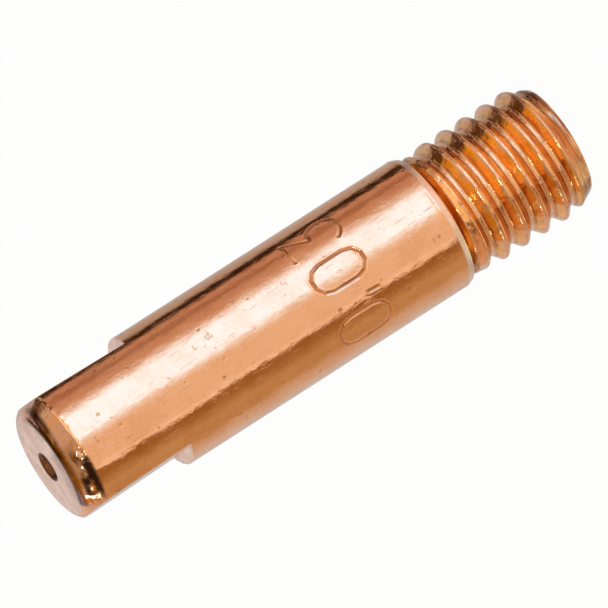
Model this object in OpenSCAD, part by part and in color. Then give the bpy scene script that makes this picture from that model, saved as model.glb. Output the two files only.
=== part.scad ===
// Welding contact tip, turned from a single copper rod.
// It stands on its threaded end, nose up, with the wire bore along +Z
// and the middle of the threaded end face at the origin.

/* [Body] */
// Diameter of the plain body
body_d = 6; // [5.95:0.05:9]
// Overall length, from the threaded end to the nose face
overall_len = 25.4; // [20:0.1:45]
// Length of the sloped shoulder between the thread and the body
shoulder_len = 0.3; // [0.1:0.05:1]

/* [Nose] */
// Diameter of the flat face at the nose
nose_face_d = 4.7; // [3:0.05:5.4]
// Length of the nose chamfer along the axis
nose_chamfer_len = 0.8; // [0.2:0.05:2]

/* [Spanner flats] */
// Distance across the two flats
flats_across = 5; // [4.5:0.05:5.6]
// Length of the flats, from the nose face
flats_len = 5.1; // [2.5:0.1:12]

/* [Thread] */
// Diameter over the thread crests
thread_d = 5.8; // [5:0.05:5.85]
// Distance from one crest to the next
pitch = 1; // [0.8:0.05:1.25]
// Width of the flat at the thread crest
crest_flat = 0.12; // [0.05:0.01:0.3]
// Width of the flat at the thread root
root_flat = 0.18; // [0.1:0.01:0.35]
// Angle between the two flanks of the thread
flank_angle = 84; // [60:1:90]
// Height of the shoulder above the threaded end
thread_len = 6.2; // [4:0.1:12]
// Height of a thread crest on the +X side
crest_height = 0.94; // [0:0.02:1]
// Diameter of the flat face at the threaded end
end_face_d = 4.9; // [4:0.05:4.95]
// Length of the chamfer at the threaded end
end_chamfer_len = 0.85; // [0.2:0.05:1.2]

/* [Thread run-out] */
// Length over which the crests get lower towards the shoulder
runout_len = 1.4; // [0.9:0.05:2.5]
// How much lower the last crest is
runout_drop = 0.15; // [0.02:0.01:0.24]
// Part of a turn in which the thread tool lifts out
liftout_turn = 0.45; // [0.1:0.05:1]
// Width of the relief groove beside the shoulder
relief_len = 0.35; // [0.15:0.05:0.8]
// Width of the flat floor of the relief groove
relief_floor = 0.1; // [0.02:0.01:0.14]
// Depth of the relief groove below the thread crests
relief_depth = 0.4; // [0.25:0.01:0.6]

/* [Wire bore] */
// Diameter of the wire bore
bore_d = 1.1; // [0.6:0.05:1.6]
// Diameter of the countersink at the nose
nose_countersink_d = 1.35; // [1.2:0.05:2.2]
// Diameter of the funnel where the wire enters
inlet_d = 2.3; // [1.8:0.05:3]
// Angle of the funnel, from side to side
inlet_angle = 60; // [40:1:120]

/* [Hidden] */
$fn = 96;

copper = [0.82, 0.51, 0.34];

body_r = body_d / 2;
thread_r = thread_d / 2;
thread_depth = (pitch - crest_flat - root_flat) / 2 / tan(flank_angle / 2);
root_r = thread_r - thread_depth;
relief_low = thread_len - relief_len;
relief_r = thread_r - relief_depth;
bore_r = bore_d / 2;
nose_countersink_depth = (nose_countersink_d - bore_d) / 2;
inlet_depth = (inlet_d - bore_d) / 2 / tan(inlet_angle / 2);

// How far a cutter passes the surface that it cuts
cut_margin = 0.04;

// Facets of the helical groove in one turn
groove_steps = 30;
groove_top_r = thread_r + cut_margin;
groove_depth = groove_top_r - root_r;
groove_top_half = root_flat / 2 + groove_depth * tan(flank_angle / 2);
// The groove's section, as distance from the axis and offset along it
groove_section = [
    [root_r, -root_flat / 2],
    [groove_top_r, -groove_top_half],
    [groove_top_r, groove_top_half],
    [root_r, root_flat / 2]
];
// The groove starts below the end and lifts out of the metal at the relief
groove_start = crest_height - 2.5 * pitch;
groove_turns = (relief_low - groove_start) / pitch;
groove_count = ceil(groove_turns * groove_steps);

// Corners of the groove's section at one step along a right-handed helix
function groove_ring(step) =
    let (
        turn = groove_turns * step / groove_count,
        lift = groove_depth * max(0, 1 - (groove_turns - turn) / liftout_turn)
    )
    [for (p = groove_section) [
        (p[0] + lift) * cos(360 * turn),
        (p[0] + lift) * sin(360 * turn),
        p[1] + groove_start + pitch * turn
    ]];

module helical_groove() {
    sides = len(groove_section);
    last = groove_count * sides;
    points = [for (step = [0:groove_count]) each groove_ring(step)];
    walls = [for (step = [0:groove_count - 1], side = [0:sides - 1])
        let (
            a = step * sides + side,
            b = step * sides + (side + 1) % sides
        )
        each [[a, b + sides, a + sides], [a, b, b + sides]]
    ];
    start_cap = [for (side = [sides - 1:-1:0]) side];
    end_cap = [for (side = [0:sides - 1]) last + side];
    polyhedron(points, concat([start_cap, end_cap], walls), convexity = 12);
}

// Rod turned to its outer shape: threaded end, relief, shoulder, body and nose
module turned_blank() {
    rotate_extrude()
        polygon([
            [0, 0],
            [end_face_d / 2, 0],
            [thread_r, end_chamfer_len],
            [thread_r, thread_len - runout_len],
            [thread_r - runout_drop, relief_low],
            [relief_r, thread_len - relief_floor],
            [relief_r, thread_len],
            [thread_r, thread_len],
            [body_r, thread_len + shoulder_len],
            [body_r, overall_len - nose_chamfer_len],
            [nose_face_d / 2, overall_len],
            [0, overall_len]
        ]);
}

// What the thread tool takes off, up to the shoulder
module thread_cut() {
    intersection() {
        helical_groove();
        translate([0, 0, -2 * pitch])
            cylinder(r = body_d, h = thread_len + 2 * pitch);
    }
}

// What the mill takes off to leave the two flats
module flats_cut() {
    for (side = [-1, 1])
        translate([
            side * (flats_across + body_d) / 2 - body_r,
            -body_d,
            overall_len - flats_len
        ])
            cube([body_d, 2 * body_d, 2 * flats_len]);
}

// Wire bore with its funnel below and its countersink at the nose
module wire_bore() {
    translate([0, 0, -cut_margin])
        cylinder(r = bore_r, h = overall_len + 2 * cut_margin);
    rotate_extrude()
        polygon([
            [0, -cut_margin],
            [inlet_d / 2 + cut_margin * tan(inlet_angle / 2), -cut_margin],
            [bore_r, inlet_depth],
            [0, inlet_depth]
        ]);
    rotate_extrude()
        polygon([
            [0, overall_len - nose_countersink_depth],
            [bore_r, overall_len - nose_countersink_depth],
            [nose_countersink_d / 2 + cut_margin, overall_len + cut_margin],
            [0, overall_len + cut_margin]
        ]);
}

module contact_tip() {
    color(copper)
        difference() {
            turned_blank();
            thread_cut();
            flats_cut();
            wire_bore();
        }
}

contact_tip();
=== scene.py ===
import math

import bpy
from mathutils import Matrix, Vector


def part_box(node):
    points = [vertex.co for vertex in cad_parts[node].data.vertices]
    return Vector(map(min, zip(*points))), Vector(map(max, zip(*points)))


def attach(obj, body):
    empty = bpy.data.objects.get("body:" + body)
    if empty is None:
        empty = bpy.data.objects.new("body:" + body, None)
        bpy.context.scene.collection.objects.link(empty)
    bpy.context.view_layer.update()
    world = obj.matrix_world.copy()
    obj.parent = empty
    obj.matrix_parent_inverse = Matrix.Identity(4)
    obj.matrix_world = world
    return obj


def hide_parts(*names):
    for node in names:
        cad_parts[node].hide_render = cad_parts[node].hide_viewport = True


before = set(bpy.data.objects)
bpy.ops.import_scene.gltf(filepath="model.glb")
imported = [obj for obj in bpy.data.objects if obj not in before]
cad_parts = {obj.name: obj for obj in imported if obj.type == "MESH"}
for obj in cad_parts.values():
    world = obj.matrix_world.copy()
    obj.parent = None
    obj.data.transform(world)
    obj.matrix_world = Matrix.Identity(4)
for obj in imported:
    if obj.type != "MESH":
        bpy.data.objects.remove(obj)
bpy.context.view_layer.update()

# The contact tip is one piece of copper rod, turned on a lathe and drilled for the wire.
# Its lower end carries a cut thread, two spanner flats are milled beside the nose,
# and the wire size is stamped in its side. Nothing on it is plated or painted.

MM = 0.001

tip_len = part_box("contact_tip")[1].z
body_r = 3.0 * MM
shoulder_len = 0.3 * MM
nose_face_r = 2.35 * MM
nose_chamfer_len = 0.8 * MM
flat_half = 2.5 * MM
flats_len = 5.1 * MM
step_height = tip_len - flats_len
thread_r = 2.9 * MM
thread_len = 6.2 * MM
pitch = 1.0 * MM
crest_flat = 0.12 * MM
root_flat = 0.18 * MM
flank_half_angle = 42
flank_slope = math.tan(math.radians(flank_half_angle))
root_r = thread_r - (pitch - crest_flat - root_flat) / 2 / flank_slope
end_face_r = 2.45 * MM
end_chamfer_len = 0.85 * MM
runout_len = 1.4 * MM
runout_drop = 0.15 * MM
runout_r = thread_r - runout_drop
liftout_turn = 0.45
liftout_len = liftout_turn * pitch
relief_len = 0.35 * MM
relief_low = thread_len - relief_len
relief_floor = 0.1 * MM
relief_depth = 0.4 * MM
relief_r = thread_r - relief_depth
crest_height = 0.94 * MM
bore_r = 0.55 * MM
countersink_r = 0.675 * MM
inlet_r = 1.15 * MM
inlet_half_angle = 30
inlet_depth = (inlet_r - bore_r) / math.tan(math.radians(inlet_half_angle))


def add_node(tree, kind, inputs=(), **settings):
    """A node with its settings made and its inputs set, or linked, by name or number."""
    node = tree.nodes.new(kind)
    for name, value in settings.items():
        setattr(node, name, value)
    for key, value in dict(inputs).items():
        if isinstance(value, bpy.types.NodeSocket):
            tree.links.new(value, node.inputs[key])
        else:
            node.inputs[key].default_value = value
    return node


def calc(tree, operation, *values):
    """The result of a Math node."""
    return add_node(tree, "ShaderNodeMath", enumerate(values), operation=operation).outputs[0]


def ramp(tree, value, low, high, to_low=0.0, to_high=1.0, shape="SMOOTHSTEP"):
    """The value carried from one range to another, with soft ends."""
    inputs = enumerate((value, low, high, to_low, to_high))
    return add_node(tree, "ShaderNodeMapRange", inputs, interpolation_type=shape).outputs[0]


def mix_colour(tree, share, first, second):
    """A colour that goes from the first to the second with the share."""
    inputs = {0: share, 6: first, 7: second}
    return add_node(tree, "ShaderNodeMix", inputs, data_type="RGBA").outputs[2]


def noise(tree, place, scale, detail=2.0, stretch=(1, 1, 1)):
    """Soft noise from 0 to 1, stretched along the axes."""
    moved = add_node(tree, "ShaderNodeVectorMath", {0: place, 1: stretch}, operation="MULTIPLY")
    inputs = {"Vector": moved.outputs[0], "Scale": scale, "Detail": detail}
    return add_node(tree, "ShaderNodeTexNoise", inputs).outputs[0]


# Finishes of the copper: bright drawn rod, the cut thread with its orange deepened by painted
# reflection, the faced ends, and painted shade in the bore.
# Tarnish stains, oxide specks, scratches and draw lines vary each of them.

oxide = (0.34, 0.14, 0.065, 1)
stamp_shade = (0.42, 0.15, 0.07, 1)
# Dark for the soot on the nose, and for a painted dark reflection streaked beside the nose edge
soot_and_dark_reflection_tone = (0.06, 0.026, 0.016, 1)
stamp_tint = 0.88
scratch_tint = 0.8
pit_chance = 0.5
dirt_roughness = 0.15
dirt_sink = 0.12
pit_sink = 0.3
# Grain of the noises in the finishes, in bumps to the millimetre
fine_stain_grain = 6.5
broad_stain_grain = 0.7
crowd_grain = 0.55
speck_grain = 3.6
scratch_grain = 2.6
pit_grain = 1.3
cloud_grain = 1.3
line_grain = 1.0
dimple_grain = 1.5


def copper_finish(name, bright, deep, rough, lines, line_depth, dimple_depth, speck_share):
    """Bare copper from bright to deep, with tool or draw lines stretched as given."""
    material = bpy.data.materials.new(name)
    material.use_nodes = True
    tree = material.node_tree
    shader = tree.nodes["Principled BSDF"]
    shader.inputs["Metallic"].default_value = 1.0
    object_place = add_node(tree, "ShaderNodeTexCoord").outputs["Object"]
    place = add_node(
        tree, "ShaderNodeVectorMath", {0: object_place, "Scale": 1 / MM}, operation="SCALE"
    ).outputs[0]

    # Stains go from the bright colour to the deep one
    fine_stain = noise(tree, place, fine_stain_grain, 3.0)
    broad_stain = noise(tree, place, broad_stain_grain, 4.0)
    mottle = calc(tree, "MULTIPLY_ADD", fine_stain, 0.6, broad_stain)
    stain = ramp(tree, mottle, 0.64, 1.04)
    colour = mix_colour(tree, stain, bright, deep)

    # Dirt: specks that crowd together in places, scratches along the rod, and pits
    crowd = ramp(tree, noise(tree, place, crowd_grain, 2.0), 0.35, 0.65, 0.0, 0.09)
    speck_noise = noise(tree, place, speck_grain, 4.0, stretch=(1, 1, 0.8))
    speck = ramp(tree, calc(tree, "ADD", speck_noise, crowd), 0.7, 0.8)
    scratch_noise = noise(tree, place, scratch_grain, 3.0, stretch=(5, 5, 0.35))
    scratch = ramp(tree, scratch_noise, 0.63, 0.73)
    cell = add_node(tree, "ShaderNodeTexVoronoi", {"Vector": place, "Scale": pit_grain})
    chance = add_node(tree, "ShaderNodeSeparateColor", {0: cell.outputs["Color"]}).outputs[0]
    pit = ramp(tree, cell.outputs["Distance"], 0.06, 0.14, 1.0, 0.0)
    pit = calc(tree, "MULTIPLY", pit, calc(tree, "GREATER_THAN", chance, 1 - pit_chance))
    dirt = calc(tree, "MAXIMUM", speck, calc(tree, "MULTIPLY", scratch, scratch_tint))
    dirt = calc(tree, "MAXIMUM", dirt, pit)
    colour = mix_colour(tree, calc(tree, "MULTIPLY", dirt, speck_share), colour, oxide)

    # Marks that the lathe tree puts in their places
    stamped = add_node(tree, "ShaderNodeAttribute", attribute_name="stamped").outputs["Fac"]
    colour = mix_colour(tree, calc(tree, "MULTIPLY", stamped, stamp_tint), colour, stamp_shade)
    # Soot over the nicks, together with a painted dark reflection beside the nose edge
    scorched = add_node(tree, "ShaderNodeAttribute", attribute_name="scorched").outputs["Fac"]
    colour = mix_colour(tree, scorched, colour, soot_and_dark_reflection_tone)
    grimy = add_node(tree, "ShaderNodeAttribute", attribute_name="grimy").outputs["Fac"]
    colour = mix_colour(tree, grimy, colour, oxide)
    tree.links.new(colour, shader.inputs["Base Color"])

    # Roughness is cloudy, and dirt adds to it
    cloud = noise(tree, place, cloud_grain, 4.0)
    rough_base = ramp(tree, cloud, 0.3, 0.75, rough[0], rough[1])
    rough_dirt = calc(tree, "MULTIPLY_ADD", dirt, dirt_roughness, rough_base)
    tree.links.new(rough_dirt, shader.inputs["Roughness"])

    # Relief: lines and dimples, with the dirt and the pits sunk in them
    line_noise = noise(tree, place, line_grain, 3.0, stretch=lines)
    line = calc(tree, "MULTIPLY", line_noise, line_depth)
    dimple = noise(tree, place, dimple_grain, 5.0, stretch=(1, 1, 0.7))
    relief = calc(tree, "MULTIPLY_ADD", dimple, dimple_depth, line)
    relief = calc(tree, "MULTIPLY_ADD", dirt, -dirt_sink * dimple_depth, relief)
    relief = calc(tree, "MULTIPLY_ADD", pit, -pit_sink * dimple_depth, relief)
    bump = add_node(
        tree, "ShaderNodeBump", {"Strength": 1.0, "Distance": 1.0, "Height": relief}
    )
    tree.links.new(bump.outputs[0], shader.inputs["Normal"])
    return material


drawn_copper = copper_finish(
    "drawn_copper",
    bright=(0.93, 0.53, 0.31, 1),
    deep=(0.88, 0.46, 0.25, 1),
    rough=(0.08, 0.17),
    lines=(7, 7, 0.15),
    line_depth=0.0012 * MM,
    dimple_depth=0.024 * MM,
    speck_share=0.4,
)
# The thread's flanks: cut copper whose deeper orange is painted reflection, standing for light bouncing
# between the flanks
thread_copper_painted_bounce = copper_finish(
    "thread_copper_painted_bounce",
    bright=(0.96, 0.50, 0.17, 1),
    deep=(0.90, 0.42, 0.11, 1),
    rough=(0.09, 0.18),
    lines=(0.8, 0.8, 9),
    line_depth=0.0015 * MM,
    dimple_depth=0.016 * MM,
    speck_share=0.5,
)
faced_copper = copper_finish(
    "faced_copper",
    bright=(0.90, 0.70, 0.61, 1),
    deep=(0.84, 0.60, 0.50, 1),
    rough=(0.25, 0.36),
    lines=(5, 5, 1),
    line_depth=0.001 * MM,
    dimple_depth=0.005 * MM,
    speck_share=0.25,
)
# Painted shade: the bore and its countersink get a dark copper colour that stands for the shade in the
# hole
bore_painted_shade = copper_finish(
    "bore_painted_shade",
    bright=(0.22, 0.10, 0.045, 1),
    deep=(0.10, 0.045, 0.02, 1),
    rough=(0.3, 0.5),
    lines=(3, 3, 12),
    line_depth=0.003 * MM,
    dimple_depth=0.01 * MM,
    speck_share=0.5,
)

# Lathe section: every ring of the tip, as its radius, whether the ring runs along the
# thread, and its height. A threaded ring takes its radius from the thread form.

# Places of the threaded rings from a crest to a root, in shares of the pitch
crest_rings = (0, 0.035, 0.065, 0.095, 0.15, 0.22, 0.29, 0.345, 0.385, 0.43, 0.5)
seam_angle = -153
start_angle = math.radians(seam_angle)
end_ring_r = 1.9 * MM
stamp_base = tip_len - 15.15 * MM
stamp_height = 2.48 * MM
rim_height = 0.014 * MM
rim_len = 0.14 * MM
stamp_margin = 0.22 * MM
step_margin = 0.06 * MM
nicked_len = 0.5 * MM


def run(start, end, spacing):
    """Rings from start up to but not including end, as (radius, height)."""
    (r0, z0), (r1, z1) = start, end
    count = max(1, round(math.hypot(r1 - r0, z1 - z0) / spacing))
    return [(r0 + (r1 - r0) * k / count, z0 + (z1 - z0) * k / count) for k in range(count)]


def rounded(before, corner, after, radius, steps=4):
    """Rings that round a corner of the section, as points on a curve inside it."""
    before, corner, after = Vector(before), Vector(corner), Vector(after)
    first = corner + (before - corner).normalized() * radius
    last = corner + (after - corner).normalized() * radius
    points = []
    for k in range(steps + 1):
        t = k / steps
        points.append(first * (1 - t) ** 2 + corner * 2 * t * (1 - t) + last * t ** 2)
    return [tuple(p) for p in points]


relief_edge = (runout_r, relief_low)
relief_foot = (relief_r, thread_len - relief_floor)
relief_top = (relief_r, thread_len)
shoulder_foot = (thread_r, thread_len)
shoulder_top = (body_r + rim_height, thread_len + shoulder_len)
rim_top = (body_r, thread_len + shoulder_len + rim_len)
stamp_low = (body_r, stamp_base - stamp_margin)
stamp_high = (body_r, stamp_base + stamp_height + stamp_margin)
step_low = (body_r, step_height - step_margin)
step_high = (body_r, step_height + step_margin)
nicked_low = (body_r, tip_len - nose_chamfer_len - nicked_len)
nose_corner = (body_r, tip_len - nose_chamfer_len)
nose_edge = (nose_face_r, tip_len)
mouth_edge = (countersink_r, tip_len)
bore_top = (bore_r, tip_len - (countersink_r - bore_r))
inlet_top = (bore_r, inlet_depth)
inlet_edge = (inlet_r, 0.0)
end_ring = (end_ring_r, 0.0)

foot_round = rounded(relief_top, shoulder_foot, shoulder_top, radius=0.04 * MM)
shoulder_round = rounded(shoulder_foot, shoulder_top, rim_top, radius=0.07 * MM)
corner_round = rounded(step_high, nose_corner, nose_edge, radius=0.1 * MM)
edge_round = rounded(nose_corner, nose_edge, mouth_edge, radius=0.3 * MM, steps=9)
mouth_round = rounded(nose_edge, mouth_edge, bore_top, radius=0.03 * MM, steps=2)

# Turned stretches of the section, each with the spacing of its rings
turned_rings = [
    *run(relief_edge, relief_foot, 0.05 * MM)[1:],
    *run(relief_foot, relief_top, 0.06 * MM),
    *run(relief_top, foot_round[0], 0.06 * MM),
    *foot_round[:-1],
    *run(foot_round[-1], shoulder_round[0], 0.08 * MM),
    *shoulder_round[:-1],
    *run(shoulder_round[-1], rim_top, 0.05 * MM),
    *run(rim_top, stamp_low, 0.35 * MM),
    *run(stamp_low, stamp_high, 0.042 * MM),
    *run(stamp_high, step_low, 0.4 * MM),
    *run(step_low, step_high, 0.012 * MM),
    *run(step_high, nicked_low, 0.35 * MM),
    *run(nicked_low, corner_round[0], 0.08 * MM),
    *corner_round[:-1],
    *run(corner_round[-1], edge_round[0], 0.06 * MM),
    *edge_round[:-1],
    *run(edge_round[-1], mouth_round[0], 0.25 * MM),
    *mouth_round[:-1],
    *run(mouth_round[-1], bore_top, 0.06 * MM),
    *run(bore_top, inlet_top, 1.5 * MM),
    *run(inlet_top, inlet_edge, 0.3 * MM),
    *run(inlet_edge, end_ring, 0.3 * MM),
    end_ring,
]
ring_places = sorted({*crest_rings, *(1 - place for place in crest_rings[1:-1])})
first_ring = -pitch * (1 + start_angle / math.tau)
last_ring = relief_low - pitch * start_angle / math.tau
ring_margin = 0.05 * pitch
section = []
for turn in range(-2, math.ceil(last_ring / pitch) + 1):
    for place in ring_places:
        ring_height = crest_height + (turn + place) * pitch
        if first_ring - ring_margin < ring_height < last_ring + ring_margin:
            section.append((0.0, 1.0, ring_height))
section += [(r, 0.0, z) for r, z in turned_rings]

# Turning angles of the columns: close together where the stamp is, and at the flats' edges.
# Each arc has its start, its end and the gap between columns, in degrees.
column_arcs = [
    (seam_angle, -30, 0.7),
    (-30, 30, 2.5),
    (30, 37, 0.7),
    (37, 143, 2.5),
    (143, 150, 0.7),
    (150, seam_angle + 360, 2.5),
]
columns = []
for arc_start, arc_end, arc_gap in column_arcs:
    arc_count = round((arc_end - arc_start) / arc_gap)
    for k in range(arc_count):
        columns.append(math.radians(arc_start + (arc_end - arc_start) * k / arc_count))
columns.append(start_angle + math.tau)

# Stamp strokes: the wire size as plain round-ended digits, along the girth and up the tip
digit_w = 1.3 * MM
digit_h = stamp_height
end_h = 0.66 * MM
bowl_r = 0.7 * MM
digit_angles = {"zero_1": -134.6, "point": -112.5, "zero_2": -85.1, "three": -49.1}


def arc(centre, radius_x, radius_y, first, last, steps=10):
    """Points on an arc, with its angles in degrees."""
    points = []
    for k in range(steps + 1):
        a = math.radians(first + (last - first) * k / steps)
        points.append((centre[0] + radius_x * math.cos(a), centre[1] + radius_y * math.sin(a)))
    return points


zero = arc((0, digit_h - end_h), digit_w / 2, end_h, 0, 180, 5)
zero += arc((0, end_h), digit_w / 2, end_h, 180, 360, 5)
zero.append(zero[0])
three = [(-0.45 * digit_w, digit_h), (0.45 * digit_w, digit_h)]
three += arc((-0.02 * MM, bowl_r), bowl_r, bowl_r, 90, -150, 14)
point = [(0, 0.12 * MM), (0.04 * MM, 0.62 * MM)]
strokes = [("zero_1", zero), ("point", point), ("zero_2", zero), ("three", three)]


def polyline(name, lines, closed=False):
    """An object that holds lines of points as edges, for the tree to read."""
    points, edges = [], []
    for line in lines:
        edges += [(len(points) + k, len(points) + k + 1) for k in range(len(line) - 1)]
        points += line
    if closed:
        edges.append((len(points) - 1, 0))
    mesh = bpy.data.meshes.new(name)
    mesh.from_pydata(points, edges, [])
    made = bpy.data.objects.new(name, mesh)
    bpy.context.scene.collection.objects.link(made)
    return made


stroke_lines = []
for digit, line in strokes:
    girth = body_r * math.radians(digit_angles[digit])
    stroke_lines.append([(girth + u, 0, stamp_base + v) for u, v in line])
stroke_guide = polyline("stamp_strokes", stroke_lines)
column_guide = polyline("turning_angles", [[(a, 0, 0) for a in columns]])
tip = polyline("copper_tip", [section], closed=True)

# The lathe: a tree that turns the section, cuts the thread, mills the flats and stamps the size
lathe_sizes = {
    "Pitch": pitch,
    "Thread radius": thread_r,
    "Root radius": root_r,
    "Root flat": root_flat,
    "Flank slope": flank_slope,
    "Crest rounding": 0.05 * MM,
    "Root rounding": 0.05 * MM,
    "Edge rounding": 0.05 * MM,
    "Thread length": thread_len,
    "End radius": end_face_r,
    "End slope": (thread_r - end_face_r) / end_chamfer_len,
    "End chamfer": end_chamfer_len,
    "Relief height": relief_low,
    "Run-out radius": runout_r,
    "Run-out slope": (thread_r - runout_r) / (runout_len - thread_len + relief_low),
    "Lift-out length": liftout_len,
    "Crest height": crest_height,
    "Body radius": body_r,
    "Flat half width": flat_half,
    "Flat lean": 0.022,
    "Flat shift": 0.05 * MM,
    "Step height": step_height,
    "Step rounding": 0.03 * MM,
    "Stamp half width": 0.092 * MM,
    "Stamp depth": 0.05 * MM,
    "Stamp lip": 0.008 * MM,
    "Stamp angle": math.radians(-86),
    "Waviness": 0.012 * MM,
    "Tearing": 0.05 * MM,
    "Nick height": tip_len - nose_chamfer_len + 0.2 * MM,
    "Nick reach": 0.55 * MM,
    "Nick angle": math.radians(-117),
    "Nick depth": 0.065 * MM,
    "Nick overrun": 0.1 * MM,
    "Burr height": tip_len - nose_chamfer_len + 0.17 * MM,
    "Burr angle": math.radians(-97.5),
    "Burr reach": 0.26 * MM,
    "Burr tilt": 0.235,
    "Corner height": tip_len - nose_chamfer_len,
    "Corner wear": 0.05 * MM,
    "Tip length": tip_len,
    "Dark reflection half width": 0.19 * MM,
    "End grime angle": math.radians(-34),
    "End grime height": 0.5 * MM,
    "Bore limit": 1.5 * MM,
    "Bore radius": countersink_r,
    "Flank limit": thread_r - 0.12 * MM,
    "Shoulder length": shoulder_len,
}
lathe_objects = {"Columns": column_guide, "Strokes": stroke_guide}
lathe_materials = {
    "Drawn": drawn_copper,
    "Threaded with painted bounce": thread_copper_painted_bounce,
    "Faced": faced_copper,
    "Painted bore shade": bore_painted_shade,
}

lathe = bpy.data.node_groups.new("lathe", "GeometryNodeTree")
lathe.interface.new_socket("Section", in_out="INPUT", socket_type="NodeSocketGeometry")
lathe.interface.new_socket("Tip", in_out="OUTPUT", socket_type="NodeSocketGeometry")
sockets = {}
for names, kind in (
    (lathe_sizes, "NodeSocketFloat"),
    (lathe_objects, "NodeSocketObject"),
    (lathe_materials, "NodeSocketMaterial"),
):
    for name, value in names.items():
        socket = lathe.interface.new_socket(name, in_out="INPUT", socket_type=kind)
        sockets[socket.identifier] = value
given = add_node(lathe, "NodeGroupInput").outputs


def guide(name):
    """What a guide object holds."""
    return add_node(lathe, "GeometryNodeObjectInfo", {"Object": given[name]}).outputs["Geometry"]


def kept(geometry, kind, value):
    """The geometry with a value kept on its points, and that value."""
    node = add_node(lathe, "GeometryNodeCaptureAttribute", {"Geometry": geometry}, domain="POINT")
    node.capture_items.new(kind, "kept")
    lathe.links.new(value, node.inputs[1])
    return node.outputs[0], node.outputs[1]


def on_cylinder(radius, angle, height):
    """The x and y of a point at that radius, angle and height, and the point itself."""
    x = calc(lathe, "MULTIPLY", radius, calc(lathe, "COSINE", angle))
    y = calc(lathe, "MULTIPLY", radius, calc(lathe, "SINE", angle))
    return x, y, add_node(lathe, "ShaderNodeCombineXYZ", {0: x, 1: y, 2: height}).outputs[0]


here = add_node(lathe, "GeometryNodeInputPosition").outputs[0]
here_xyz = add_node(lathe, "ShaderNodeSeparateXYZ", {0: here}).outputs
turn_line = add_node(lathe, "GeometryNodeMeshToCurve", {0: guide("Columns")}).outputs[0]
turn_line, angle = kept(turn_line, "FLOAT", here_xyz[0])
section_line = add_node(lathe, "GeometryNodeMeshToCurve", {0: given["Section"]}).outputs[0]
section_line, ring = kept(section_line, "VECTOR", here)
skin = add_node(
    lathe, "GeometryNodeCurveToMesh", {"Curve": turn_line, "Profile Curve": section_line}
).outputs[0]

ring_r, threaded, ring_z = add_node(lathe, "ShaderNodeSeparateXYZ", {0: ring}).outputs
turns = calc(lathe, "DIVIDE", angle, math.tau)
climbed = calc(lathe, "MULTIPLY_ADD", turns, given["Pitch"], ring_z)
climbed = calc(lathe, "MINIMUM", calc(lathe, "MAXIMUM", climbed, 0.0), given["Relief height"])
is_thread = add_node(
    lathe, "FunctionNodeCompare", {0: threaded, 1: 0.5}, operation="GREATER_THAN"
).outputs[0]
height = add_node(
    lathe, "GeometryNodeSwitch", {0: is_thread, 1: ring_z, 2: climbed}, input_type="FLOAT"
).outputs[0]

# Thread form: flats at the crest and the root, sloped flanks between, and a chamfered end.
# At the top the groove lifts out of the metal and the crests get lower towards the relief.
above_crest = calc(lathe, "SUBTRACT", height, given["Crest height"])
phase = calc(lathe, "SUBTRACT", calc(lathe, "DIVIDE", above_crest, given["Pitch"]), turns)
from_root = calc(lathe, "SUBTRACT", 0.5, calc(lathe, "PINGPONG", phase, 0.5))
from_root = calc(lathe, "MULTIPLY", from_root, given["Pitch"])
groove_turn = calc(lathe, "ADD", calc(lathe, "ADD", calc(lathe, "FLOOR", phase), 0.5), turns)
groove_z = calc(lathe, "MULTIPLY_ADD", groove_turn, given["Pitch"], given["Crest height"])
lift_low = calc(lathe, "SUBTRACT", given["Relief height"], given["Lift-out length"])
groove_depth = calc(lathe, "SUBTRACT", given["Thread radius"], given["Root radius"])
lift = ramp(lathe, groove_z, lift_low, given["Relief height"], 0.0, groove_depth, "LINEAR")
floor_r = calc(lathe, "ADD", given["Root radius"], lift)
up_flank = calc(lathe, "SUBTRACT", from_root, calc(lathe, "MULTIPLY", given["Root flat"], 0.5))
flank_r = calc(lathe, "ADD", calc(lathe, "DIVIDE", up_flank, given["Flank slope"]), floor_r)
form_r = calc(lathe, "SMOOTH_MAX", flank_r, floor_r, given["Root rounding"])
form_r = calc(lathe, "SMOOTH_MIN", form_r, given["Thread radius"], given["Crest rounding"])
end_r = calc(lathe, "MULTIPLY_ADD", height, given["End slope"], given["End radius"])
form_r = calc(lathe, "SMOOTH_MIN", form_r, end_r, given["Edge rounding"])
below_top = calc(lathe, "SUBTRACT", given["Relief height"], height)
runout = calc(lathe, "MULTIPLY_ADD", below_top, given["Run-out slope"], given["Run-out radius"])
form_r = calc(lathe, "SMOOTH_MIN", form_r, runout, given["Edge rounding"])
radius = add_node(
    lathe, "GeometryNodeSwitch", {0: is_thread, 1: ring_r, 2: form_r}, input_type="FLOAT"
).outputs[0]

# Grain of the noises that break up the marks, in bumps to the metre
stamp_grain = 700.0
wave_grain = 420.0
nick_grain = 1600.0
wear_grain = 3600.0
scorch_grain = 1300.0
dark_reflection_grain = 1100.0
tear_grain = 2600.0
grime_grain = 1500.0
rub_grain = 3200.0

# Stamp: strokes wrapped round the body press a groove and raise a lip on each side.
# The groove and the lip count in half widths of a stroke, and the ends are pressed less.
groove_floor = 0.25
lip_place = 1.25
lip_reach = 0.75
light_ends = (0.3, 0.75)
stroke_angle = calc(lathe, "DIVIDE", here_xyz[0], given["Body radius"])
stroke_place = on_cylinder(given["Body radius"], stroke_angle, here_xyz[2])[2]
wrapped = add_node(
    lathe, "GeometryNodeSetPosition", {"Geometry": guide("Strokes"), "Position": stroke_place}
).outputs[0]
plain_place = on_cylinder(radius, angle, height)[2]
away = add_node(
    lathe,
    "GeometryNodeProximity",
    {0: wrapped, "Source Position": plain_place},
    target_element="EDGES",
).outputs["Distance"]
away = calc(lathe, "DIVIDE", away, given["Stamp half width"])
groove = ramp(lathe, away, groove_floor, 1.0, 1.0, 0.0)
lip_away = calc(lathe, "ABSOLUTE", calc(lathe, "SUBTRACT", away, lip_place))
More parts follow.
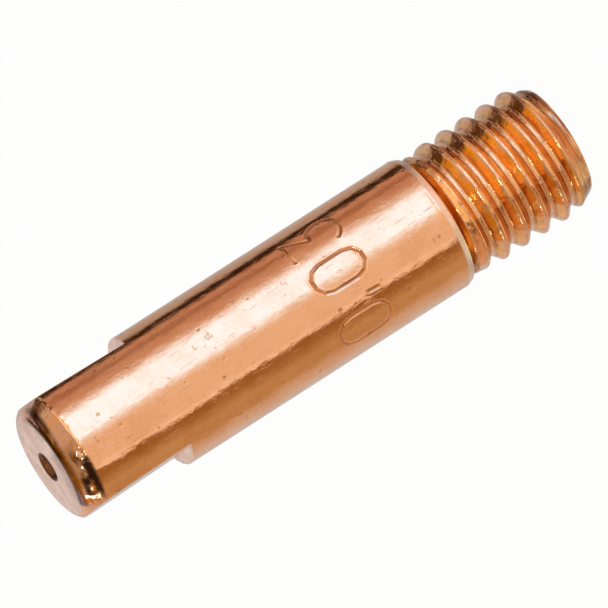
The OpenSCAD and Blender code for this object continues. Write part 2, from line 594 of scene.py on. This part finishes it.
lip = ramp(lathe, lip_away, 0.0, lip_reach, 1.0, 0.0)
force = ramp(lathe, noise(lathe, plain_place, stamp_grain, 1.0), 0.3, 0.7, 0.6, 1.2)
off_middle = calc(lathe, "ABSOLUTE", calc(lathe, "SUBTRACT", angle, given["Stamp angle"]))
force = calc(lathe, "MULTIPLY", force, ramp(lathe, off_middle, *light_ends, 1.0, 0.45))
groove = calc(lathe, "MULTIPLY", groove, force)
pressed = calc(lathe, "MULTIPLY", groove, given["Stamp depth"])
raised = calc(lathe, "MULTIPLY", calc(lathe, "MULTIPLY", lip, force), given["Stamp lip"])

# Drawn rod: the plain walls outside the bore are slightly wavy
wave = calc(lathe, "SUBTRACT", noise(lathe, plain_place, wave_grain, 1.0, (1, 1, 0.6)), 0.5)
wave = calc(lathe, "MULTIPLY", wave, given["Waviness"])
outside = add_node(
    lathe, "FunctionNodeCompare", {0: radius, 1: given["Bore limit"]}, operation="GREATER_THAN"
).outputs[0]
plain_wall = calc(lathe, "MULTIPLY", outside, calc(lathe, "SUBTRACT", 1.0, threaded))

# Nose wear: nicks knocked in the chamfer on one side, a bent facet beside them, a worn corner.
# Sectors round the nick angle are cosines, from where a mark starts to where it is full.
nick_sector = (0.7, 0.93)
deep_sector = (0.84, 0.95)
scorch_sector = (0.86, 0.97)
nick_near = calc(lathe, "ABSOLUTE", calc(lathe, "SUBTRACT", height, given["Nick height"]))
nick_near = ramp(lathe, nick_near, 0.0, given["Nick reach"], 1.0, 0.0)
nick_side = calc(lathe, "COSINE", calc(lathe, "SUBTRACT", angle, given["Nick angle"]))
nick_near = calc(lathe, "MULTIPLY", nick_near, ramp(lathe, nick_side, *nick_sector))
nick = ramp(lathe, noise(lathe, plain_place, nick_grain, 1.0), 0.4, 0.7)
nick = calc(lathe, "MULTIPLY", calc(lathe, "MULTIPLY", nick, nick_near), given["Nick depth"])
nick = calc(lathe, "MULTIPLY", nick, ramp(lathe, nick_side, *deep_sector))
nick_low = calc(lathe, "SUBTRACT", given["Corner height"], given["Nick overrun"])
nick = calc(lathe, "MULTIPLY", nick, ramp(lathe, height, nick_low, given["Corner height"]))
burr_up = calc(lathe, "SUBTRACT", height, given["Burr height"])
burr_side = calc(lathe, "SUBTRACT", angle, given["Burr angle"])
burr_side = calc(lathe, "MULTIPLY", burr_side, given["Body radius"])
burr_away = calc(lathe, "MULTIPLY", burr_side, burr_side)
burr_away = calc(lathe, "SQRT", calc(lathe, "MULTIPLY_ADD", burr_up, burr_up, burr_away))
burr_core = calc(lathe, "MULTIPLY", given["Burr reach"], 0.5)
burr = ramp(lathe, burr_away, burr_core, given["Burr reach"], 1.0, 0.0)
burr = calc(lathe, "MULTIPLY", burr, calc(lathe, "MULTIPLY", burr_up, given["Burr tilt"]))
worn_core = 0.05 * MM
worn_reach = 0.3 * MM
corner_away = calc(lathe, "ABSOLUTE", calc(lathe, "SUBTRACT", height, given["Corner height"]))
wear = calc(lathe, "SUBTRACT", noise(lathe, plain_place, wear_grain, 2.0), 0.5)
wear = calc(lathe, "MULTIPLY", wear, ramp(lathe, corner_away, worn_core, worn_reach, 1.0, 0.0))
wear = calc(lathe, "MULTIPLY", wear, given["Corner wear"])

# Soot and painted reflection: a broken burnt patch over the nicks is soot, and a streak beside the nose
# edge is a painted dark reflection.
# The streak drops away from the edge, fades at one end and stops at the other.
dark_reflection_turn = (-1.6, -0.55)
dark_reflection_fade = (-1.85, -1.5)
dark_reflection_stop = (-0.5, -0.3)
dark_reflection_drops = (0.12 * MM, 0.32 * MM)
dark_reflection_core = 0.02 * MM
soot_with_dark_reflection = ramp(lathe, noise(lathe, plain_place, scorch_grain, 3.0, (0.7, 0.7, 1.5)), 0.42, 0.56)
soot_with_dark_reflection = calc(lathe, "MULTIPLY", soot_with_dark_reflection, ramp(lathe, nick_near, 0.2, 0.6))
soot_with_dark_reflection = calc(lathe, "MULTIPLY", soot_with_dark_reflection, ramp(lathe, nick_side, *scorch_sector))
dark_reflection_drop = ramp(lathe, angle, *dark_reflection_turn, *dark_reflection_drops)
dark_reflection_z = calc(lathe, "SUBTRACT", given["Tip length"], dark_reflection_drop)
dark_reflection = calc(lathe, "ABSOLUTE", calc(lathe, "SUBTRACT", height, dark_reflection_z))
dark_reflection = ramp(lathe, dark_reflection, dark_reflection_core, given["Dark reflection half width"], 1.0, 0.0)
dark_reflection = calc(lathe, "MULTIPLY", dark_reflection, ramp(lathe, angle, *dark_reflection_fade, 0.7, 0.95))
dark_reflection = calc(lathe, "MULTIPLY", dark_reflection, ramp(lathe, angle, *dark_reflection_stop, 1.0, 0.0))
dark_reflection_break = ramp(lathe, noise(lathe, plain_place, dark_reflection_grain, 3.0), 0.3, 0.55, 0.45, 1.0)
soot_with_dark_reflection = calc(lathe, "MAXIMUM", soot_with_dark_reflection, calc(lathe, "MULTIPLY", dark_reflection, dark_reflection_break))
soot_with_dark_reflection = calc(lathe, "MULTIPLY", soot_with_dark_reflection, plain_wall)

# The marks move the plain walls in and out, and the tool tears the surface of the thread
moved = calc(lathe, "ADD", calc(lathe, "SUBTRACT", raised, pressed), wave)
moved = calc(lathe, "ADD", calc(lathe, "SUBTRACT", moved, nick), calc(lathe, "ADD", burr, wear))
tear = calc(lathe, "SUBTRACT", noise(lathe, plain_place, tear_grain, 2.0), 0.5)
tear = calc(lathe, "MULTIPLY", calc(lathe, "MULTIPLY", tear, given["Tearing"]), threaded)
radius = calc(lathe, "ADD", calc(lathe, "MULTIPLY_ADD", moved, plain_wall, radius), tear)
worked_x, worked_y = on_cylinder(radius, angle, height)[:2]

# Grime: dark oxide beside the thread's root, in the relief groove and on the end chamfer
past_root = calc(lathe, "SUBTRACT", up_flank, given["Edge rounding"])
root_line = ramp(lathe, calc(lathe, "ABSOLUTE", past_root), 0.0, given["Edge rounding"], 1.0, 0.0)
root_line = calc(lathe, "MULTIPLY", root_line, threaded)
relief_end = calc(lathe, "ADD", given["Relief height"], given["Edge rounding"])
in_relief = ramp(lathe, height, given["Relief height"], relief_end)
in_relief = calc(lathe, "MULTIPLY", in_relief, calc(lathe, "LESS_THAN", height, given["Thread length"]))
grime = ramp(lathe, noise(lathe, plain_place, grime_grain, 3.0, (0.5, 0.5, 4.0)), 0.38, 0.6, 0.3, 1.0)
end_side = calc(lathe, "COSINE", calc(lathe, "SUBTRACT", angle, given["End grime angle"]))
on_end = ramp(lathe, end_side, 0.2, 0.9, 0.65, 1.0)
end_reach = ramp(lathe, height, given["End grime height"], given["End chamfer"], 1.0, 0.0)
on_end = calc(lathe, "MULTIPLY", on_end, end_reach)
grime_share = calc(lathe, "MAXIMUM", calc(lathe, "MAXIMUM", root_line, in_relief), on_end)
rub = ramp(lathe, noise(lathe, plain_place, rub_grain, 2.0, (0.6, 0.6, 1.6)), 0.5, 0.68, 0.0, 0.45)
grime_share = calc(lathe, "MAXIMUM", grime_share, calc(lathe, "MULTIPLY", rub, threaded))
grime = calc(lathe, "MULTIPLY", grime, grime_share)

# Flats: the mill takes off what stands past half the width across them. They lean a little,
# about a height that is half their width above the step.
mill_clearance = 1.1
mill_low = calc(lathe, "SUBTRACT", given["Step height"], given["Step rounding"])
mill_high = calc(lathe, "ADD", given["Step height"], given["Step rounding"])
clear_r = calc(lathe, "MULTIPLY", given["Body radius"], mill_clearance)
flat_side = calc(lathe, "SIGN", worked_x)
flat_x = calc(lathe, "MULTIPLY_ADD", given["Flat shift"], flat_side, given["Flat half width"])
lean_z = calc(lathe, "ADD", given["Step height"], given["Flat half width"])
above_lean = calc(lathe, "SUBTRACT", height, lean_z)
flat_x = calc(lathe, "MULTIPLY_ADD", above_lean, given["Flat lean"], flat_x)
mill_x = ramp(lathe, height, mill_low, mill_high, clear_r, flat_x)
milled = calc(
    lathe, "SMOOTH_MIN", calc(lathe, "ABSOLUTE", worked_x), mill_x, given["Step rounding"]
)
milled = calc(lathe, "MULTIPLY", milled, flat_side)
milled_place = add_node(
    lathe, "ShaderNodeCombineXYZ", {0: milled, 1: worked_y, 2: height}
).outputs[0]

cut = add_node(
    lathe, "GeometryNodeSetPosition", {"Geometry": skin, "Position": milled_place}
).outputs[0]
# The soot mark also carries the painted dark reflection
for mark, share in (("stamped", groove), ("scorched", soot_with_dark_reflection), ("grimy", grime)):
    cut = add_node(
        lathe,
        "GeometryNodeStoreNamedAttribute",
        {"Geometry": cut, "Name": mark, "Value": share},
        data_type="FLOAT",
        domain="POINT",
    ).outputs[0]
merge_gap = 0.0015 * MM
cut = add_node(
    lathe, "GeometryNodeMergeByDistance", {"Geometry": cut, "Distance": merge_gap}
).outputs[0]
cut = add_node(lathe, "GeometryNodeSetShadeSmooth", {"Geometry": cut}).outputs[0]
cut = add_node(lathe, "GeometryNodeRealizeInstances", {"Geometry": cut}).outputs[0]

# Finish by place: drawn all over, cut on the flanks of the thread with painted reflection deepening its
# orange, faced on the shoulder and where the metal looks along the axis, painted shade in the bore
flank_slant = 0.57
faced_slant = 0.93
hair = 0.005 * MM
facing = add_node(lathe, "GeometryNodeInputNormal").outputs[0]
facing_z = add_node(lathe, "ShaderNodeSeparateXYZ", {0: facing}).outputs[2]
flat_place = add_node(
    lathe, "ShaderNodeVectorMath", {0: here, 1: (1, 1, 0)}, operation="MULTIPLY"
).outputs[0]
out_by = add_node(
    lathe, "ShaderNodeVectorMath", {0: flat_place}, operation="LENGTH"
).outputs["Value"]
slant = calc(lathe, "ABSOLUTE", facing_z)
foot_z = calc(lathe, "ADD", given["Thread length"], hair)
shoulder_top_z = calc(lathe, "ADD", given["Thread length"], given["Shoulder length"])
above_end = calc(lathe, "GREATER_THAN", here_xyz[2], hair)
above_foot = calc(lathe, "GREATER_THAN", here_xyz[2], foot_z)
in_thread = calc(lathe, "SUBTRACT", above_end, above_foot)
on_flank = calc(lathe, "MULTIPLY", in_thread, calc(lathe, "GREATER_THAN", slant, flank_slant))
below_crest = calc(lathe, "LESS_THAN", out_by, given["Flank limit"])
on_flank = calc(lathe, "MULTIPLY", on_flank, below_crest)
on_shoulder = calc(
    lathe, "MULTIPLY", above_foot, calc(lathe, "LESS_THAN", here_xyz[2], shoulder_top_z)
)
faced = calc(lathe, "GREATER_THAN", slant, faced_slant)
faced = calc(lathe, "MAXIMUM", faced, on_shoulder)
# Inside this radius the painted bore shade goes on
in_bore = calc(lathe, "LESS_THAN", out_by, given["Bore radius"])
for where, finish in (
    (None, "Drawn"),
    (faced, "Faced"),
    (on_flank, "Threaded with painted bounce"),
    (in_bore, "Painted bore shade"),
):
    inputs = {"Geometry": cut, "Material": given[finish]}
    if where is not None:
        inputs["Selection"] = where
    cut = add_node(lathe, "GeometryNodeSetMaterial", inputs).outputs[0]
add_node(lathe, "NodeGroupOutput", {"Tip": cut})

# What the tree makes becomes the mesh of the tip, and the guides are removed
sharp_edge = math.radians(70)
turning = tip.modifiers.new("lathe", "NODES")
turning.node_group = lathe
for identifier, value in sockets.items():
    turning[identifier] = value
bpy.context.view_layer.update()
tip_mesh = bpy.data.meshes.new_from_object(
    tip.evaluated_get(bpy.context.evaluated_depsgraph_get())
)
tip.modifiers.clear()
tip.data = tip_mesh
tip_mesh.name = "copper_tip"
tip_mesh.set_sharp_from_angle(angle=sharp_edge)
for used_guide in (stroke_guide, column_guide):
    bpy.data.objects.remove(used_guide)

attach(tip, "root")
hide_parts("contact_tip")

# The floor is a plain pale sheet under the tip, and it keeps the soft shadow.
# The metal looks past it, so that the studio shows in the underside too.

floor_half = 0.5
floor_colour = (0.95, 0.95, 0.95, 1)
pure_white = (1, 1, 1, 1)
floor_glow_share = 0.97
floor_mesh = bpy.data.meshes.new("floor")
floor_mesh.from_pydata(
    [(-floor_half, -floor_half, 0), (floor_half, -floor_half, 0),
     (floor_half, floor_half, 0), (-floor_half, floor_half, 0)],
    [],
    [(0, 1, 2, 3)],
)
floor = bpy.data.objects.new("floor", floor_mesh)
bpy.context.scene.collection.objects.link(floor)
floor.visible_glossy = False
floor.visible_shadow = False
floor_paint = bpy.data.materials.new("floor_paint")
floor_paint.use_nodes = True
floor_tree = floor_paint.node_tree
floor_tree.nodes.remove(floor_tree.nodes["Principled BSDF"])
matt = add_node(floor_tree, "ShaderNodeBsdfDiffuse", {"Color": floor_colour}).outputs[0]
glow_inputs = {"Color": pure_white, "Strength": 1.0}
glow = add_node(floor_tree, "ShaderNodeEmission", glow_inputs).outputs[0]
seen = add_node(floor_tree, "ShaderNodeLightPath").outputs["Is Camera Ray"]
white_share = calc(floor_tree, "MULTIPLY", seen, floor_glow_share)
floor_look = add_node(floor_tree, "ShaderNodeMixShader", {0: white_share, 1: matt, 2: glow}).outputs[0]
floor_tree.links.new(floor_look, floor_tree.nodes["Material Output"].inputs["Surface"])
floor_mesh.materials.append(floor_paint)

# The studio is a stack of rings of plain soft cards round the tip: one bright light, pale
# cards, brown ones, and a narrow dark gap. Angles count from the camera, towards +X.

camera_angle = -92.1
card_light = 4.0
back_wall = (0.58, 0.58, 0.60)
pale_wall = (0.68, 0.66, 0.66)
pink_wall = (0.66, 0.54, 0.43)
golden_board = (0.57, 0.40, 0.21)
shaded_board = (0.54, 0.37, 0.19)
brown_board = (0.36, 0.19, 0.06)
brown_edge = (0.33, 0.155, 0.045)
bright_rim = (1.04, 0.91, 0.79)
warm_card = (0.89, 0.75, 0.63)
lamp_edge = (0.96, 1.02, 1.12)
soft_lamp = (1.2, 1.78, 2.75)
lamp_fade = (0.90, 0.90, 0.98)
pink_edge = (0.66, 0.46, 0.36)
copper_wall = (0.58, 0.37, 0.29)
streak = (0.40, 0.23, 0.15)
gap = (0.045, 0.022, 0.009)
grey_wall = (0.48, 0.42, 0.39)
level_cards = [
    (-180, back_wall),
    (-140, pale_wall),
    (-112, pink_wall),
    (-99, shaded_board),
    (-81, golden_board),
    (-58, brown_board),
    (-48, brown_edge),
    (-46.5, bright_rim),
    (-41, bright_rim),
    (-38, warm_card),
    (-2, warm_card),
    (6, lamp_edge),
    (14, soft_lamp),
    (49, soft_lamp),
    (60, lamp_fade),
    (67, pink_edge),
    (82, copper_wall),
    (88, streak),
    (92, streak),
    (99, copper_wall),
    (105, copper_wall),
    (111, gap),
    (123, gap),
    (129, grey_wall),
    (180, back_wall),
]
front_wall = (0.62, 0.60, 0.60)
front_brown = (0.34, 0.19, 0.10)
front_gap = (0.16, 0.09, 0.045)
front_cards = [
    (-180, front_wall),
    (-110, (0.74, 0.50, 0.34)),
    (-57, (0.60, 0.33, 0.15)),
    (-48, front_brown),
    (-40, front_brown),
    (-34, (1.0, 0.76, 0.40)),
    (20, (1.2, 0.95, 0.47)),
    (62, (0.86, 0.62, 0.34)),
    (74, (0.68, 0.48, 0.28)),
    (81, (0.50, 0.35, 0.20)),
    (88, front_gap),
    (100, front_gap),
    (107, (0.40, 0.32, 0.26)),
    (140, (0.56, 0.56, 0.62)),
    (180, front_wall),
]
upper_wall = (0.92, 0.84, 0.78)
upper_gap = (0.11, 0.07, 0.045)
upper_grey = (0.56, 0.60, 0.74)
upper_cards = [
    (-180, upper_wall),
    (-120, (0.58, 0.54, 0.54)),
    (-60, (0.62, 0.50, 0.36)),
    (-34, (0.90, 0.80, 0.66)),
    (10, (1.1, 1.0, 0.85)),
    (50, (1.25, 1.15, 1.05)),
    (82, (0.70, 0.60, 0.50)),
    (91, upper_gap),
    (127, upper_gap),
    (134, upper_grey),
    (150, upper_grey),
    (180, upper_wall),
]
black_cloth = (0.04, 0.025, 0.015)
dark_cloth = (0.09, 0.05, 0.03)
cloth_edge = (0.20, 0.13, 0.09)
blue_window = (0.66, 0.66, 1.05)
dim_window = (0.38, 0.31, 0.42)
amber_card = (0.64, 0.33, 0.10)
tan_card = (0.56, 0.44, 0.34)
tan_ceiling = (0.48, 0.37, 0.27)
pink_ceiling = (0.62, 0.50, 0.43)
high_cards = [
    (-180, black_cloth),
    (-165, black_cloth),
    (-150, blue_window),
    (-138, blue_window),
    (-131, amber_card),
    (-117, amber_card),
    (-112, tan_card),
    (-98, tan_card),
    (0, tan_ceiling),
    (30, pink_ceiling),
    (103, pink_ceiling),
    (111, cloth_edge),
    (116, dark_cloth),
    (127, dark_cloth),
    (132, dim_window),
    (142, dim_window),
    (150, black_cloth),
    (180, black_cloth),
]
rust_card = (0.58, 0.28, 0.03)
dim_rust = (0.50, 0.24, 0.02)
orange_card = (0.88, 0.45, 0.03)
zenith_cards = [
    (-180, (0.30, 0.16, 0.05)),
    (-120, rust_card),
    (-86, dim_rust),
    (-78, tan_ceiling),
    (0, tan_ceiling),
    (30, pink_ceiling),
    (78, pink_ceiling),
    (84, (0.96, 0.51, 0.03)),
    (102, (0.80, 0.42, 0.03)),
    (111, cloth_edge),
    (116, black_cloth),
    (180, black_cloth),
]
cap_cards = [
    (-180, rust_card),
    (-86, dim_rust),
    (-76, orange_card),
    (110, orange_card),
    (180, rust_card),
]
lower_wall = (0.50, 0.45, 0.40)
lower_cards = [
    (-180, lower_wall),
    (-50, (0.50, 0.42, 0.32)),
    (20, (0.80, 0.74, 0.64)),
    (70, (0.70, 0.62, 0.52)),
    (100, (0.20, 0.15, 0.12)),
    (180, lower_wall),
]
cream_table = (1.0, 0.95, 0.65)
under_cards = [
    (-180, cream_table),
    (-100, cream_table),
    (-66, (0.72, 0.55, 0.36)),
    (-40, (0.95, 0.75, 0.54)),
    (-15, (1.2, 0.98, 0.70)),
    (44, (1.2, 0.89, 0.70)),
    (80, (0.90, 0.57, 0.37)),
    (180, cream_table),
]
copper_table = (0.82, 0.45, 0.26)
nadir_cards = [(-180, copper_table), (180, copper_table)]
# Each ring and the heights of sight between which it takes over from the ring below
studio_rings = [
    (-1.0, -1.0, nadir_cards),
    (-0.92, -0.88, under_cards),
    (-0.70, -0.62, lower_cards),
    (-0.52, -0.46, level_cards),
    (-0.17, -0.11, front_cards),
    (0.15, 0.21, upper_cards),
    (0.46, 0.52, high_cards),
    (0.74, 0.77, zenith_cards),
    (0.94, 0.96, cap_cards),
]
# Small bare lamps, as their angle, elevation, half width and light, which glint on edges
bare_lamps = [(-11, 45, 5, 18), (-106, 38, 4, 9)]

world = bpy.data.worlds.new("studio")
bpy.context.scene.world = world
world.use_nodes = True
sky = world.node_tree
sky.nodes.clear()
look = add_node(sky, "ShaderNodeTexCoord").outputs["Generated"]
look_x, look_y, look_z = add_node(sky, "ShaderNodeSeparateXYZ", {0: look}).outputs
round_angle = calc(sky, "ARCTAN2", look_y, look_x)
round_share = calc(sky, "MULTIPLY_ADD", round_angle, 1 / math.tau, 0.5 - camera_angle / 360)
round_share = calc(sky, "FRACT", round_share)


def card_ring(stops):
    """The ring of cards as a colour ramp, in shares of the brightest card."""
    node = add_node(sky, "ShaderNodeValToRGB", {0: round_share})
    elements = node.color_ramp.elements
    while len(elements) > 1:
        elements.remove(elements[-1])
    for place, (stop_angle, light) in enumerate(stops):
        position = stop_angle / 360 + 0.5
        stop = elements[0] if place == 0 else elements.new(position)
        stop.position = position
        stop.color = [value / card_light for value in light] + [1]
    return node.outputs["Color"]


def bare_lamp(angle_from_camera, elevation, half_width):
    """The share of a small round lamp in the line of sight."""
    a, e = math.radians(camera_angle + angle_from_camera), math.radians(elevation)
    towards = (math.cos(a) * math.cos(e), math.sin(a) * math.cos(e), math.sin(e))
    nearness = add_node(
        sky, "ShaderNodeVectorMath", {0: look, 1: towards}, operation="DOT_PRODUCT"
    ).outputs["Value"]
    edge = math.cos(math.radians(half_width))
    return ramp(sky, nearness, edge, (1 + edge) / 2)


studio_colour = card_ring(studio_rings[0][2])
for ring_low, ring_high, stops in studio_rings[1:]:
    ring_share = ramp(sky, look_z, ring_low, ring_high)
    studio_colour = mix_colour(sky, ring_share, studio_colour, card_ring(stops))
for *lamp, light in bare_lamps:
    lamp_colour = (light / card_light, light / card_light, light / card_light, 1)
    studio_colour = mix_colour(sky, bare_lamp(*lamp), studio_colour, lamp_colour)
studio = add_node(sky, "ShaderNodeBackground", {0: studio_colour, 1: card_light}).outputs[0]
backdrop = add_node(sky, "ShaderNodeBackground", {0: pure_white, 1: 1.0}).outputs[0]
seen = add_node(sky, "ShaderNodeLightPath").outputs["Is Camera Ray"]
surround = add_node(sky, "ShaderNodeMixShader", {0: seen, 1: studio, 2: backdrop}).outputs[0]
add_node(sky, "ShaderNodeOutputWorld", {"Surface": surround})

# The camera looks along the photograph's line: from the nose side, tilted so that the
# nose points down to the left, from far enough away that the sides stay nearly parallel.

camera_elevation = 14.85
camera_distance = 1000 * MM
nose_tilt = -122.64
picture_px = 608
px_per_mm = 24.6
aim_below_nose = 12.746 * MM
picture_lift = -0.0013
sensor_mm = 36.0

camera_data = bpy.data.cameras.new("camera")
camera_data.sensor_width = sensor_mm
camera_data.lens = px_per_mm * camera_distance / MM * sensor_mm / picture_px
camera_data.shift_y = picture_lift
camera_data.clip_start = 0.01
camera_data.clip_end = 5.0
camera = bpy.data.objects.new("camera", camera_data)
bpy.context.scene.collection.objects.link(camera)
bpy.context.scene.camera = camera
sight = math.radians(camera_elevation)
bearing = math.radians(camera_angle)
back = Vector((
    math.cos(bearing) * math.cos(sight), math.sin(bearing) * math.cos(sight), math.sin(sight)
))
level_right = Vector((-math.sin(bearing), math.cos(bearing), 0))
level_up = back.cross(level_right)
tilt = math.radians(nose_tilt)
right = level_right * math.cos(tilt) + level_up * math.sin(tilt)
up = level_up * math.cos(tilt) - level_right * math.sin(tilt)
aim = Vector((0, 0, tip_len - aim_below_nose))
eye = aim + back * camera_distance
camera.matrix_world = Matrix((
    (right.x, up.x, back.x, eye.x),
    (right.y, up.y, back.y, eye.y),
    (right.z, up.z, back.z, eye.z),
    (0, 0, 0, 1),
))

bpy.context.scene.view_settings.view_transform = "Standard"
